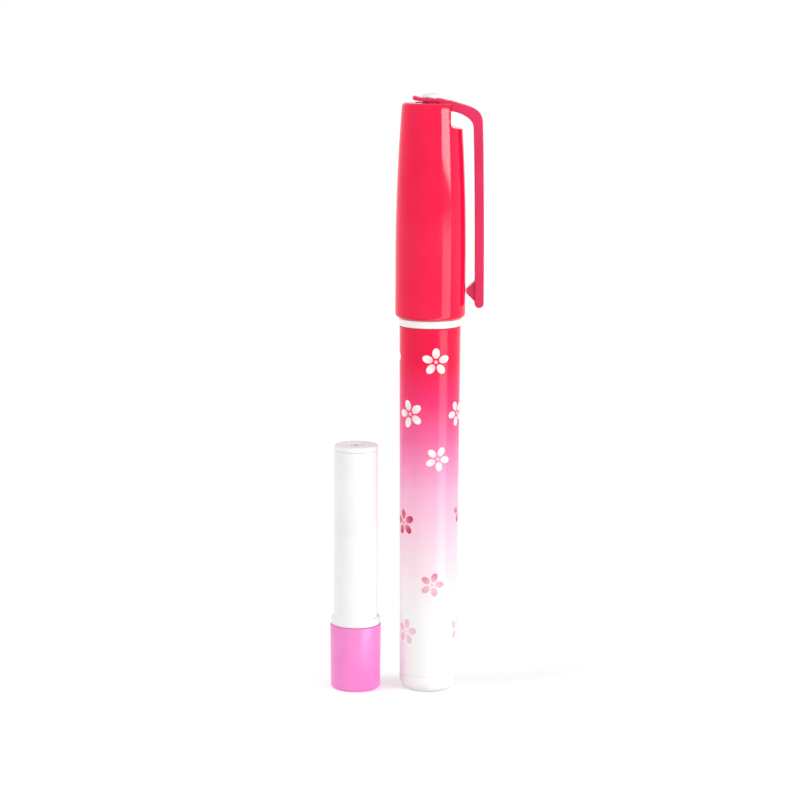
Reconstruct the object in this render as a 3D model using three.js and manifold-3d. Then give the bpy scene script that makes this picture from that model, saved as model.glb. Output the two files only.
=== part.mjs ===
// A refillable fabric glue pen, standing on its tail with the cap on, and one spare glue refill
// standing on its own cap beside it. Millimetres, +Z up, the pen's axis on Z, the clip towards +X.
import * as THREE from "three";
import { mergeVertices } from "three/addons/utils/BufferGeometryUtils.js";
import Module from "manifold-3d";

const wasm = await Module();
wasm.setup();

// Clearances
const seatGap = 0.1; // between faces that rest on each other
const slideGap = 0.15; // radial, between parts that slide or turn in each other

// Barrel: a slightly tapered printed tube
const barrelLength = 81.1;
const barrelMouthRadius = 7;
const barrelTailRadius = 6.6;
const barrelWall = 0.95;

// Tail plug: the rounded white end, pressed into the barrel
const tailHeight = 4;
const tailEdgeRadius = 2.6;
const tailDraft = 0.12;
const spigotHeight = 6;
const spigotWall = 1;

// Drive stem: a ribbed post from the plug to the refill's knob, which its hexagon holds still
const stemFootHeight = 2.4;
const stemRibThickness = 1.5;
const stemRibTaper = 0.25;
const stemHeadHeight = 1.8;
const hexPostRadius = 1.9;
const hexPostHeight = 2.4;
const hexGap = 0.2;

// Twist neck: sleeve in the barrel, the white ring that shows, and the neck that the cap closes on
const sleeveLength = 15;
const beadHeight = 1;
const beadRise = 0.28;
const ringRadius = 7.2;
const ringThickness = 1.75;
const neckRadius = 6.55;
const neckLength = 11.1;
const gripBeadRise = 0.12;
const gripRibCount = 4;
const gripRibRise = 0.12;
const gripRibWidth = 0.8;

// Glue cartridge: the same moulding in the pen and in the spare refill
const tubeRadius = 5.1;
const tubeBoreRadius = 3.8;
const tubeBodyLength = 39.2;
const tubeFitGap = 0.2;
const flangeRadius = 5.7;
const flangeThickness = 1.75;
const nozzleRadius = 4.6;
const nozzleLength = 13;
const sealBeadRise = 0.15;
const sealBeadHeight = 0.9;
const keywayWidth = 1.8;
const keywayDepth = 0.5;
const keywayEnd = 4;
const knobThickness = 1.2;
const knobSpigotDepth = 3.6;
const endWallThickness = 1;
const collarRadius = 3.3;
const collarThickness = 0.9;
const pegRadius = 1.4;
const pegDepth = 1.3;
const screwLength = 34;
const screwCoreRadius = 1.15;
const screwCrestRadius = 1.85;
const threadLead = 4;
const crestWidth = 0.8;
const flankWidth = 0.4;
const carrierRadius = 3.65;
const nutHeight = 3.6;
const cupDepth = 5;
const cupWall = 0.6;
const lugThickness = 1.1;
const lugWidth = 1.4;
const glueRadius = 3.5;
const glueTipRecess = 1.5;

// Refill cap: the pink one that the spare stands on
const refillCapLength = 15.15;
const refillCapRimRadius = 5.95;
const refillCapEndRadius = 5.76;
const refillCapEndWall = 1;
const refillSpacing = 16.85;

// Pen cap
const capLength = 48.7;
const capRadius = 8.03;
const capStraightLength = 14;
const capTopRadius = 6.66;
const capLipRadius = 1;
const capTopEdgeRadius = 0.8;
const capMouthGap = 0.2;
const capShellWall = 1.55;
const roofThickness = 1.4;
const crownWall = 1.1;
const notchWallX = 4.3;
const notchDepth = 5.3;
const notchFillet = 0.8;
const notchFall = 0.5;

// Inner cap: the white seal that closes over the nozzle
const innerCapLength = 28.5;
const innerCapWall = 1;
const innerCapBaseRadius = 6.2;
const innerCapTopRadius = 5.45;
const towerRadius = 2.8;

// Top stud: the white dot that rivets the clip's tongue to the cap
const studHeadRadius = 2.1;
const studHeadHeight = 0.95;
const studShaftRadius = 1.4;
const studShaftLength = 6;

// Pocket clip: the tongue on the roof, the arch over the notch and the long leg
const clipWidth = 4.6;
const clipEdge = 0.3;
const clipRootGap = 0.3;
const archRise = 0.5; // of the arch's top over the roof, at the notch wall
const archThickness = 2.35;
const archHeight = 5.1; // from the arch's top down to the leg
const archPull = 3.9;
const cornerPull = 3.7;
const legTopX = 11.6;
const legBow = 0.55; // how much further out the leg stands at its foot
const legThickness = 2.1;
const legEndHeight = 2.35;
const bumpWidth = 3.2;
const bumpHeight = 4.6;
const bumpTipHeight = 0.8;
const bumpCentre = 6.1;
const bumpGap = 0.12;
const tongueReach = 4.3;
const tongueInset = 0.6;
const slotReach = 3.45;
const seatRise = 0.47; // from the arch up to the flat that carries the stud
const seatShare = 0.3;
const noseCurl = 0.7;
const noseShare = 0.45;
const noseThickness = 1.1;

// Faceting
const bodyFacets = 40;
const tubeFacets = 28;
const smallFacets = 24;
const threadSteps = 12;

// Heights up the pen
const stemSeat = tailHeight - spigotWall;
const barrelBase = tailHeight + seatGap;
const barrelTop = barrelBase + barrelLength;
const ringBase = barrelTop + seatGap;
const ringTop = ringBase + ringThickness;
const neckTop = ringTop + neckLength;
const flangeSeat = neckTop + seatGap;
const capBase = ringTop + seatGap;
const capTop = capBase + capLength;
const innerCapBase = flangeSeat + flangeThickness + seatGap;
const innerCapTop = innerCapBase + innerCapLength;
const roofUnderside = capTop - roofThickness;
const notchFloor = capTop - notchDepth;
const archTop = capTop + archRise;
const tongueBase = capTop - tongueInset;

// Heights along a cartridge, from the rear face of its flange towards the nozzle
const tubeTail = -tubeBodyLength;
const knobTop = tubeTail - seatGap;
const knobFace = knobTop - knobThickness;
const knobSpigotTop = tubeTail + knobSpigotDepth;
const endWallBase = knobSpigotTop + seatGap;
const endWallTop = endWallBase + endWallThickness;
const collarBase = endWallTop + seatGap;
const collarTop = collarBase + collarThickness;
const screwTop = collarTop + screwLength;
const nutBase = collarTop + 2 * slideGap;
const nutTop = nutBase + nutHeight;
const cupTop = nutTop + cupDepth;
const nozzleTip = flangeThickness + nozzleLength;
const glueTip = nozzleTip - glueTipRecess;

// Radii that follow from what runs in what
const barrelBoreRadius = barrelMouthRadius - barrelWall;
const barrelTailBoreRadius = barrelTailRadius - barrelWall;
const sleeveRadius = barrelBoreRadius - slideGap;
const neckBoreRadius = tubeRadius + tubeFitGap;
const capMouthBoreRadius = neckRadius + capMouthGap;
const nutBoreRadius = screwCrestRadius + slideGap;
const glueBoreRadius = screwCrestRadius + 2 * slideGap;
const cupBoreRadius = carrierRadius - cupWall;

function merged(geometry) {
  geometry.deleteAttribute("normal");
  geometry.deleteAttribute("uv");
  return mergeVertices(geometry);
}

function solid(geometry) {
  const welded = merged(geometry);
  const mesh = new wasm.Mesh({
    numProp: 3,
    vertProperties: welded.attributes.position.array,
    triVerts: new Uint32Array(welded.index.array),
  });
  return new wasm.Manifold(mesh);
}

function geometryOf(body) {
  const mesh = body.getMesh();
  const geometry = new THREE.BufferGeometry();
  geometry.setAttribute("position", new THREE.BufferAttribute(mesh.vertProperties, 3));
  geometry.setIndex(new THREE.BufferAttribute(mesh.triVerts, 1));
  return geometry;
}

// Points round a centre in the profile plane, angles in degrees from the outward direction.
function arc(radius, height, size, from, to, steps = 4) {
  return Array.from({ length: steps + 1 }, (_, i) => {
    const angle = THREE.MathUtils.degToRad(from + ((to - from) * i) / steps);
    return [radius + size * Math.cos(angle), height + size * Math.sin(angle)];
  });
}

// A turned solid from [radius, height] points, up the outside and down the inside.
function turned(profile, facets) {
  const points = profile.map(([radius, height]) => new THREE.Vector2(radius, height));
  const onAxis = profile[0][0] === 0;
  if (!onAxis) points.push(points[0].clone());
  return solid(new THREE.LatheGeometry(points, facets).rotateX(Math.PI / 2));
}

function rod(radius, from, to, facets = smallFacets) {
  return turned([[0, from], [radius, from], [radius, to], [0, to]], facets);
}

function block(width, depth, from, to, x = 0, y = 0) {
  const box = new THREE.BoxGeometry(width, depth, to - from);
  return solid(box.translate(x, y, (from + to) / 2));
}

// An outline in the XZ plane, given its width along Y with small rounded edges.
function slab(shape, width, edge, curveSegments = 8) {
  const geometry = new THREE.ExtrudeGeometry(shape, {
    depth: width - 2 * edge,
    bevelEnabled: edge > 0,
    bevelThickness: edge,
    bevelSize: edge,
    bevelOffset: -edge,
    bevelSegments: 2,
    curveSegments,
  });
  return solid(geometry.rotateX(Math.PI / 2).translate(0, width / 2 - edge, 0));
}

function part(name, body, colour, roughness) {
  const material = new THREE.MeshStandardMaterial({ color: colour, roughness, metalness: 0 });
  const mesh = new THREE.Mesh(geometryOf(body), material);
  mesh.name = name;
  return mesh;
}

const capRed = 0xf5234e;
const printPink = 0xf5709f;
const shellWhite = 0xf6f5f1;
const refillPink = 0xf98bd6;
const gluePink = 0xf7a6cf;

function barrel() {
  const grooveHigh = barrelTop - sleeveLength + 2 * beadHeight + slideGap;
  const grooveLow = grooveHigh - beadHeight - 2 * slideGap;
  const grooveRadius = barrelBoreRadius + beadRise;
  const stepHeight = barrelTop - sleeveLength - beadHeight;
  const mouthEdge = 0.2;
  return turned(
    [
      [barrelTailRadius - mouthEdge, barrelBase],
      [barrelTailRadius, barrelBase + mouthEdge],
      [barrelMouthRadius, barrelTop - mouthEdge],
      [barrelMouthRadius - mouthEdge, barrelTop],
      [barrelBoreRadius, barrelTop],
      [barrelBoreRadius, grooveHigh],
      [grooveRadius, grooveHigh],
      [grooveRadius, grooveLow],
      [barrelBoreRadius, grooveLow],
      [barrelBoreRadius, stepHeight],
      [barrelTailBoreRadius, barrelBase],
    ],
    bodyFacets,
  );
}

function tailPlug() {
  const spigotRadius = barrelTailBoreRadius - slideGap;
  const spigotTop = tailHeight + spigotHeight;
  const footRadius = barrelTailRadius - tailDraft;
  return turned(
    [
      [0, 0],
      ...arc(footRadius - tailEdgeRadius, tailEdgeRadius, tailEdgeRadius, -90, 0, 6),
      [barrelTailRadius, tailHeight],
      [spigotRadius, tailHeight],
      [spigotRadius, spigotTop],
      [spigotRadius - spigotWall, spigotTop],
      [spigotRadius - spigotWall, stemSeat],
      [0, stemSeat],
    ],
    bodyFacets,
  );
}

// Foot in the plug, four tapering ribs, and a head whose hexagon enters the knob.
function driveStem() {
  const footRadius = barrelTailBoreRadius - slideGap - spigotWall - slideGap;
  const foot = stemSeat + seatGap;
  const footTop = foot + stemFootHeight;
  const headTop = flangeSeat + knobFace - seatGap;
  const headBase = headTop - stemHeadHeight;
  const headRadius = tubeRadius - slideGap;
  const outline = turned(
    [
      [0, foot],
      [footRadius, foot],
      [footRadius, footTop],
      [footRadius - stemRibTaper, headBase],
      [0, headBase],
    ],
    smallFacets,
  );
  const ribs = [0, 90].map((turn) => {
    const rib = block(2 * footRadius, stemRibThickness, foot, headBase);
    return rib.rotate([0, 0, turn]);
  });
  return ribs[0]
    .add(ribs[1])
    .intersect(outline)
    .add(rod(footRadius, foot, footTop))
    .add(rod(headRadius, headBase - seatGap, headTop))
    .add(rod(hexPostRadius, headTop - stemHeadHeight / 2, headTop + hexPostHeight, 6));
}

function twistNeck() {
  const sleeveBase = ringBase - sleeveLength;
  const beadBase = sleeveBase + beadHeight;
  const beadRadius = sleeveRadius + beadRise;
  const ringEdge = 0.35;
  const neckEdge = 0.5;
  const gripHeight = ringTop + neckLength * 0.4;
  const neck = turned(
    [
      [sleeveRadius - beadRise, sleeveBase],
      [sleeveRadius, sleeveBase + beadRise],
      [sleeveRadius, beadBase],
      [beadRadius, beadBase + beadRise],
      [beadRadius, beadBase + beadHeight - beadRise],
      [sleeveRadius, beadBase + beadHeight],
      [sleeveRadius, ringBase],
      [ringRadius - ringEdge, ringBase],
      ...arc(ringRadius - ringEdge, ringBase + ringEdge, ringEdge, -60, 0, 2),
      ...arc(ringRadius - ringEdge, ringTop - ringEdge, ringEdge, 0, 90, 2),
      [neckRadius, ringTop],
      [neckRadius, gripHeight - beadHeight],
      [neckRadius + gripBeadRise, gripHeight],
      [neckRadius, gripHeight + beadHeight],
      [neckRadius, neckTop - neckEdge],
      [neckRadius - neckEdge, neckTop],
      [neckBoreRadius, neckTop],
      [neckBoreRadius, sleeveBase],
    ],
    bodyFacets,
  );
  const ribTop = neckTop - neckEdge;
  const ribReach = neckBoreRadius + gripRibRise;
  const hole = rod(neckBoreRadius - gripRibRise, sleeveBase, neckTop, tubeFacets);
  const ribs = Array.from({ length: gripRibCount }, (_, i) => {
    const ribHeightStart = ribTop - neckLength;
    const rib = block(2 * gripRibRise, gripRibWidth, ribHeightStart, ribTop, ribReach - gripRibRise);
    return rib.rotate([0, 0, (360 * i) / gripRibCount + 45]);
  });
  return ribs.reduce((body, rib) => body.add(rib.subtract(hole)), neck);
}

// The cartridge's outer tube: body, flange and nozzle, with two keyways for the carrier.
function cartridgeTube() {
  const beadMiddle = flangeThickness + 2 * sealBeadHeight;
  const flangeEdge = 0.3;
  const lipEdge = 0.35;
  const tube = turned(
    [
      [tubeRadius - flangeEdge, tubeTail],
      [tubeRadius, tubeTail + flangeEdge],
      [tubeRadius, 0],
      [flangeRadius - flangeEdge, 0],
      [flangeRadius, flangeEdge],
      [flangeRadius, flangeThickness - flangeEdge],
      [flangeRadius - flangeEdge, flangeThickness],
      [nozzleRadius, flangeThickness],
      [nozzleRadius, beadMiddle - sealBeadHeight],
      [nozzleRadius + sealBeadRise, beadMiddle],
      [nozzleRadius, beadMiddle + sealBeadHeight],
      [nozzleRadius, nozzleTip - lipEdge],
      [nozzleRadius - lipEdge, nozzleTip],
      [tubeBoreRadius, nozzleTip],
      [tubeBoreRadius, endWallTop],
      [pegRadius + slideGap, endWallTop],
      [pegRadius + slideGap, endWallBase],
      [tubeBoreRadius, endWallBase],
      [tubeBoreRadius, tubeTail],
    ],
    tubeFacets,
  );
  const keyways = block(2 * (tubeBoreRadius + keywayDepth), keywayWidth, endWallTop, nozzleTip - keywayEnd);
  return tube.subtract(keyways);
}

// One right-handed thread as a closed skin: every turn's profile is core, flank, crest, flank,
// swept up a helix, with a fan to the axis at each end.
function threadSkin(from, turns) {
  const rings = turns * threadSteps;
  const profile = [
    [screwCoreRadius, 0],
    [screwCrestRadius, flankWidth],
    [screwCrestRadius, flankWidth + crestWidth],
    [screwCoreRadius, 2 * flankWidth + crestWidth],
  ];
  const positions = [];
  const at = (ring, row) => (row === profile.length ? at(ring + threadSteps, 0) : ring * profile.length + row);
  for (let ring = 0; ring <= rings + threadSteps; ring++) {
    const angle = (2 * Math.PI * ring) / threadSteps;
    for (const [radius, rise] of profile) {
      const height = from + (threadLead * ring) / threadSteps + rise;
      positions.push(radius * Math.cos(angle), radius * Math.sin(angle), height);
    }
  }
  const faces = [];
  for (let ring = 0; ring < rings; ring++) {
    for (let row = 0; row < profile.length; row++) {
      const [a, b] = [at(ring, row), at(ring + 1, row)];
      const [c, d] = [at(ring + 1, row + 1), at(ring, row + 1)];
      faces.push(a, b, c, a, c, d);
    }
  }
  const fan = (ring, flip) => {
    const centre = positions.length / 3;
    positions.push(0, 0, from + threadLead * (ring / threadSteps + 0.5));
    const rim = Array.from({ length: threadSteps + 1 }, (_, i) => at(ring + i, 0));
    const column = profile.map((_, row) => at(ring, row)).slice(1).reverse();
    const loop = [...rim, ...column];
    loop.forEach((a, i) => {
      const b = loop[(i + 1) % loop.length];
      faces.push(centre, ...(flip ? [b, a] : [a, b]));
    });
  };
  fan(0, true);
  fan(rings, false);
  const geometry = new THREE.BufferGeometry();
  geometry.setAttribute("position", new THREE.Float32BufferAttribute(positions, 3));
  geometry.setIndex(faces);
  return solid(geometry);
}

// The knob closes the tube's end: a hexagon socket outside, a hexagon pocket for the screw inside.
function driveKnob() {
  const knobEdge = 0.35;
  const socketTop = knobFace + hexPostHeight + hexGap;
  const knob = turned(
    [
      [0, knobFace],
      [tubeRadius - knobEdge, knobFace],
      [tubeRadius, knobFace + knobEdge],
      [tubeRadius, knobTop],
      [tubeBoreRadius - slideGap, knobTop],
      [tubeBoreRadius - slideGap, knobSpigotTop],
      [0, knobSpigotTop],
    ],
    tubeFacets,
  );
  const socket = rod(hexPostRadius + hexGap, knobFace - seatGap, socketTop, 6);
  const pocket = rod(pegRadius + hexGap, knobSpigotTop - pegDepth - seatGap, knobSpigotTop + seatGap, 6);
  return knob.subtract(socket).subtract(pocket);
}

// Peg, journal, collar and thread. The thread's phase puts its groove at the nut's lugs.
function feedScrew() {
  const nutMiddle = nutBase + nutHeight / 2;
  const ridgeMiddle = flankWidth + crestWidth / 2;
  const ridgeAtLug = nutMiddle - 0.75 * threadLead - ridgeMiddle;
  const turnsBelow = Math.ceil((ridgeAtLug - collarTop) / threadLead) + 1;
  const threadStart = ridgeAtLug - turnsBelow * threadLead;
  const turns = Math.ceil((screwTop - threadStart) / threadLead) + 1;
  const window = rod(screwCrestRadius + slideGap, collarTop - seatGap, screwTop);
  return threadSkin(threadStart, turns)
    .intersect(window)
    .add(rod(collarRadius, collarBase, collarTop))
    .add(rod(pegRadius, knobSpigotTop, collarTop - collarThickness / 2))
    .add(rod(pegRadius, knobSpigotTop - pegDepth, endWallBase, 6));
}

// Nut, keys and cup in one moulding: two lugs ride in the thread, half a turn apart.
function glueCarrier() {
  const body = turned(
    [
      [0, nutBase],
      [carrierRadius, nutBase],
      [carrierRadius, cupTop],
      [cupBoreRadius, cupTop],
      [cupBoreRadius, nutTop],
      [0, nutTop],
    ],
    smallFacets,
  );
  const keyReach = tubeBoreRadius + keywayDepth - 1.5 * slideGap;
  const keys = block(2 * keyReach, keywayWidth - 4 * slideGap, nutBase, nutTop);
  const bore = rod(nutBoreRadius, nutBase - seatGap, nutTop + seatGap);
  const lugReach = screwCoreRadius + slideGap;
  const lugSpan = nutBoreRadius + slideGap - lugReach;
  const lugs = [1, -1].map((side) => {
    const middle = nutBase + nutHeight / 2 - (side * threadLead) / 4;
    const x = side * (lugReach + lugSpan / 2);
    return block(lugSpan, lugWidth, middle - lugThickness / 2, middle + lugThickness / 2, x);
  });
  return body.add(keys).subtract(bore).add(lugs[0]).add(lugs[1]);
}

function glueStick() {
  const seat = nutTop + seatGap;
  const waist = cupTop + seatGap;
  const tipEdge = 0.7;
  const boreTop = screwTop + 3 * seatGap;
  return turned(
    [
      [glueBoreRadius, seat],
      [cupBoreRadius - seatGap, seat],
      [cupBoreRadius - seatGap, waist],
      [glueRadius, waist],
      [glueRadius, glueTip - tipEdge],
      ...arc(glueRadius - tipEdge, glueTip - tipEdge, tipEdge, 30, 90, 2),
      [0, glueTip],
      [0, boreTop],
      [glueBoreRadius, boreTop],
    ],
    smallFacets,
  );
}

// The refill's cap, in the cartridge's own heights: rim at the flange, closed past the nozzle.
function refillCap() {
  const rim = flangeThickness + seatGap;
  const end = rim + refillCapLength;
  const endEdge = 0.8;
  const rimEdge = 0.2;
  const boreEnd = end - refillCapEndWall;
  const deepRadius = nozzleRadius + slideGap;
  const mouthRadius = nozzleRadius + sealBeadRise + slideGap;
  const mouthDepth = rim + 5 * sealBeadHeight;
  return turned(
    [
      [mouthRadius, rim],
      [refillCapRimRadius - rimEdge, rim],
      [refillCapRimRadius, rim + rimEdge],
      ...arc(refillCapEndRadius - endEdge, end - endEdge, endEdge, 0, 90, 4),
      [0, end],
      [0, boreEnd],
      [deepRadius, boreEnd],
      [deepRadius, mouthDepth + rimEdge],
      [mouthRadius, mouthDepth],
    ],
    tubeFacets,
  );
}

// The cap's outline above its straight length is one long arc that leans in to the roof.
function capOutline(height) {
  const along = Math.max(0, height - capBase - capStraightLength);
  const whole = capLength - capStraightLength;
  return capRadius - (capRadius - capTopRadius) * (along / whole) ** 2;
}

function capShell() {
  const crownSteps = 7;
  const crownBase = capBase + capStraightLength;
  const crownTop = capTop - capTopEdgeRadius;
  const crown = Array.from({ length: crownSteps + 1 }, (_, i) => {
    const height = crownBase + ((crownTop - crownBase) * i) / crownSteps;
    return [capOutline(height), height];
  });
  const shoulder = innerCapBase - seatGap;
  const sealBase = innerCapBaseRadius + slideGap;
  const sealTop = innerCapTopRadius + slideGap;
  const boreTop = innerCapTop + slideGap;
  const edgeMiddle = capOutline(crownTop) - capTopEdgeRadius;
  const shell = turned(
    [
      [capMouthBoreRadius, capBase],
      [capRadius - capLipRadius, capBase],
      ...arc(capRadius - capLipRadius, capBase + capLipRadius, capLipRadius, -60, 0, 3),
      ...crown,
      ...arc(edgeMiddle, crownTop, capTopEdgeRadius, 30, 90, 2),
      [0, capTop],
      [0, boreTop],
      [sealTop, boreTop],
      [sealBase, shoulder],
      [capMouthBoreRadius, shoulder],
    ],
    bodyFacets,
  );
  const notch = new THREE.Shape();
  const outside = 2 * capRadius;
  notch.moveTo(notchWallX, capTop + outside);
  notch.lineTo(notchWallX, notchFloor + notchFillet);
  notch.quadraticCurveTo(notchWallX, notchFloor, notchWallX + notchFillet, notchFloor);
  notch.lineTo(capTopRadius + notchFillet, notchFloor - notchFall);
  notch.lineTo(outside, notchFloor - notchFall);
  notch.lineTo(outside, capTop + outside);
  notch.closePath();
  const pocketRadius = capOutline(roofUnderside) - capShellWall;
  const pocketRight = notchWallX - crownWall;
  const pocket = rod(pocketRadius, boreTop - seatGap, roofUnderside).subtract(
    block(outside, outside, boreTop - 1, capTop, pocketRight + outside / 2),
  );
  const tongueSlot = block(
    slotReach + notchWallX + 2 * slideGap,
    clipWidth + 2 * slideGap,
    tongueBase - seatGap,
    capTop + 1,
    (notchWallX - slotReach) / 2,
  );
  const studHole = rod(studShaftRadius + slideGap, roofUnderside - 1, capTop);
  const cuts = [slab(notch, 3 * capRadius, 0), pocket, tongueSlot, studHole];
  return cuts.reduce((body, cut) => body.subtract(cut), shell);
}

function innerCap() {
  const boreTop = innerCapTop - innerCapWall;
  const boreBaseRadius = innerCapBaseRadius - innerCapWall;
  const boreTopRadius = innerCapTopRadius - innerCapWall / 2;
  const towerTop = roofUnderside - seatGap;
  const holeBase = tongueBase - studShaftLength - seatGap;
  return turned(
    [
      [boreBaseRadius, innerCapBase],
      [innerCapBaseRadius, innerCapBase],
      [innerCapTopRadius, innerCapTop],
      [towerRadius, innerCapTop],
      [towerRadius, towerTop],
      [studShaftRadius + slideGap, towerTop],
      [studShaftRadius + slideGap, holeBase],
      [0, holeBase],
      [0, boreTop],
      [boreTopRadius - innerCapWall / 2, boreTop],
      [boreTopRadius, boreTop - innerCapWall / 2],
    ],
    tubeFacets,
  );
}

// The tongue's place along its length, 0 at the notch wall and 1 at its free end
function tongueShare(x) {
  return (notchWallX - x) / (notchWallX + tongueReach);
}

// How far the nose has curled up, 0 along the flat and 1 at the free end
function noseLift(x) {
  return Math.max(0, (tongueShare(x) - 1 + noseShare) / noseShare) ** 2;
}

// The tongue's top: up from the arch to the stud's seat, then curled up at the nose
function tongueTop(x) {
  const seat = seatRise * THREE.MathUtils.smoothstep(tongueShare(x), 0, seatShare);
  return archTop + seat + noseCurl * noseLift(x);
}

function tongueUnder(x) {
  const noseUnder = tongueTop(-tongueReach) - noseThickness;
  return tongueBase + (noseUnder - tongueBase) * noseLift(x);
}

function clipTongue() {
  const steps = 8;
  const noseX = noseThickness / 2 - tongueReach;
  const places = Array.from({ length: steps + 1 }, (_, i) => notchWallX + ((noseX - notchWallX) * i) / steps);
  const shape = new THREE.Shape();
  shape.moveTo(notchWallX, tongueBase);
  places.slice(1).forEach((x) => shape.lineTo(x, tongueUnder(x)));
  shape.bezierCurveTo(-tongueReach, tongueUnder(noseX), -tongueReach, tongueTop(noseX), noseX, tongueTop(noseX));
  places.reverse().slice(1).forEach((x) => shape.lineTo(x, tongueTop(x)));
  shape.closePath();
  const hole = rod(studShaftRadius + slideGap, tongueBase - 1, tongueTop(-tongueReach) + 1);
  return slab(shape, clipWidth, clipEdge / 2, 4).subtract(hole);
}

// The arch runs out over the notch and turns down; the leg bows outward towards its foot, as a
// parabola, and carries a narrower wedge that all but touches the cap.
function pocketClip() {
  const rootX = notchWallX + clipRootGap;
  const rootBase = archTop - archThickness;
  const footX = legTopX + legBow;
  const elbow = archTop - archHeight;
  const innerElbow = elbow - legThickness / 2;
  const ankle = capBase + legEndHeight + legThickness / 2;
  const legSteps = 6;
  const legOuter = (height) => footX - legBow * (Math.max(0, height - ankle) / (elbow - ankle)) ** 2;
  const shape = new THREE.Shape();
  shape.moveTo(rootX, rootBase);
  shape.lineTo(rootX, archTop);
  shape.bezierCurveTo(
    rootX + archPull,
    archTop - archPull / 3,
    legTopX,
    elbow + cornerPull,
    legTopX,
    elbow,
  );
  for (let i = 1; i <= legSteps; i++) {
    const height = elbow + ((ankle - elbow) * i) / legSteps;
    shape.lineTo(legOuter(height), height);
  }
  shape.absarc(footX - legThickness / 2, ankle, legThickness / 2, 0, -Math.PI, true);
  for (let i = 1; i <= legSteps; i++) {
    const height = ankle + ((innerElbow - ankle) * i) / legSteps;
    shape.lineTo(legOuter(height) - legThickness, height);
  }
  shape.bezierCurveTo(
    legTopX - legThickness,
    innerElbow + legThickness,
    rootX + 0.6 * archPull,
    rootBase - 0.1 * archThickness,
    rootX,
    rootBase,
  );
  const bumpMiddle = capBase + bumpCentre;
  const bumpTip = capRadius + bumpGap;
  const bumpRoot = legOuter(bumpMiddle) - legThickness;
  const bump = new THREE.Shape();
  bump.moveTo(bumpRoot + legThickness / 2, bumpMiddle - bumpHeight / 2);
  bump.lineTo(bumpRoot + legThickness / 2, bumpMiddle + bumpHeight / 2);
  bump.lineTo(bumpRoot, bumpMiddle + bumpHeight / 2);
  bump.lineTo(bumpTip, bumpMiddle + bumpTipHeight / 2);
  bump.lineTo(bumpTip, bumpMiddle - bumpTipHeight / 2);
  bump.lineTo(bumpRoot, bumpMiddle - bumpHeight / 2);
  bump.closePath();
  return slab(shape, clipWidth, clipEdge).add(slab(bump, bumpWidth, clipEdge / 2));
}

function topStud() {
  const headBase = tongueTop(-studHeadRadius) + seatGap;
  const shaftEnd = tongueBase - studShaftLength;
  const domeSteps = 4;
  const dome = Array.from({ length: domeSteps + 1 }, (_, i) => {
    const turn = (Math.PI / 2) * (i / domeSteps);
    return [studHeadRadius * Math.cos(turn), headBase + studHeadHeight * (0.35 + 0.65 * Math.sin(turn))];
  });
  dome[domeSteps][0] = 0;
  return turned(
    [
      [0, shaftEnd],
      [studShaftRadius, shaftEnd],
      [studShaftRadius, headBase],
      [studHeadRadius, headBase],
      ...dome,
    ],
    smallFacets,
  );
}

const pen = new THREE.Group();
pen.add(
  part("barrel", barrel(), printPink, 0.25),
  part("tail_plug", tailPlug(), shellWhite, 0.3),
  part("drive_stem", driveStem(), shellWhite, 0.4),
  part("twist_neck", twistNeck(), shellWhite, 0.3),
  part("cap_shell", capShell(), capRed, 0.15),
  part("inner_cap", innerCap(), shellWhite, 0.4),
  part("clip_tongue", clipTongue(), capRed, 0.15),
  part("pocket_clip", pocketClip(), capRed, 0.15),
  part("top_stud", topStud(), shellWhite, 0.3),
);

// The loaded cartridge stands nozzle up, its flange on the neck.
const cartridge = new THREE.Group();
cartridge.position.z = flangeSeat;
cartridge.add(
  part("cartridge_tube", cartridgeTube(), shellWhite, 0.35),
  part("drive_knob", driveKnob(), shellWhite, 0.35),
  part("feed_screw", feedScrew(), shellWhite, 0.4),
  part("glue_carrier", glueCarrier(), shellWhite, 0.4),
  part("glue_stick", glueStick(), gluePink, 0.6),
);
pen.add(cartridge);

// The spare refill is the same cartridge turned nozzle down, standing on its pink cap.
const refill = new THREE.Group();
refill.position.set(-refillSpacing, 0, refillCapLength + seatGap + flangeThickness);
refill.rotation.x = Math.PI;
refill.add(
  part("refill_tube", cartridgeTube(), shellWhite, 0.35),
  part("refill_drive_knob", driveKnob(), shellWhite, 0.35),
  part("refill_feed_screw", feedScrew(), shellWhite, 0.4),
  part("refill_glue_carrier", glueCarrier(), shellWhite, 0.4),
  part("refill_glue_stick", glueStick(), gluePink, 0.6),
  part("refill_cap", refillCap(), refillPink, 0.2),
);

const gluePen = new THREE.Group();
gluePen.add(pen, refill);

export default gluePen;
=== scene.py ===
import math
import bmesh
import bpy
from mathutils import Matrix, Vector


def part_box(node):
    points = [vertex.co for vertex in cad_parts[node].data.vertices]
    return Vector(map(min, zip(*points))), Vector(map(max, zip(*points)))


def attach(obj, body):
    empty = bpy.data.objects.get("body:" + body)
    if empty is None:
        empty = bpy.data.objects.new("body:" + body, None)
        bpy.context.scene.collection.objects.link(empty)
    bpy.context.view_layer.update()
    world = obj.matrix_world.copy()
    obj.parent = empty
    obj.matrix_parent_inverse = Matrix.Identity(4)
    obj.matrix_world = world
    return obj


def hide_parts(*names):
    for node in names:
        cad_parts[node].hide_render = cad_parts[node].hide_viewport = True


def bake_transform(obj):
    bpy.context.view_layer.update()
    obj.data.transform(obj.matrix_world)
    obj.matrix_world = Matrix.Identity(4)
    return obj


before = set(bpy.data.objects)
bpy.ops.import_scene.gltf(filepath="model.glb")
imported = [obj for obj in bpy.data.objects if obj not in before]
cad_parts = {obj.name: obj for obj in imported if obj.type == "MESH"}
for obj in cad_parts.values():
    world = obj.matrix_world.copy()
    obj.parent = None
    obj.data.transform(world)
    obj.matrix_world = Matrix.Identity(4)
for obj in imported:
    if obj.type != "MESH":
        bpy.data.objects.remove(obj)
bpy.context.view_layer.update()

mm = 0.001
faceGap = 0.1  # millimetres between the faces of neighbouring pieces
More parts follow.
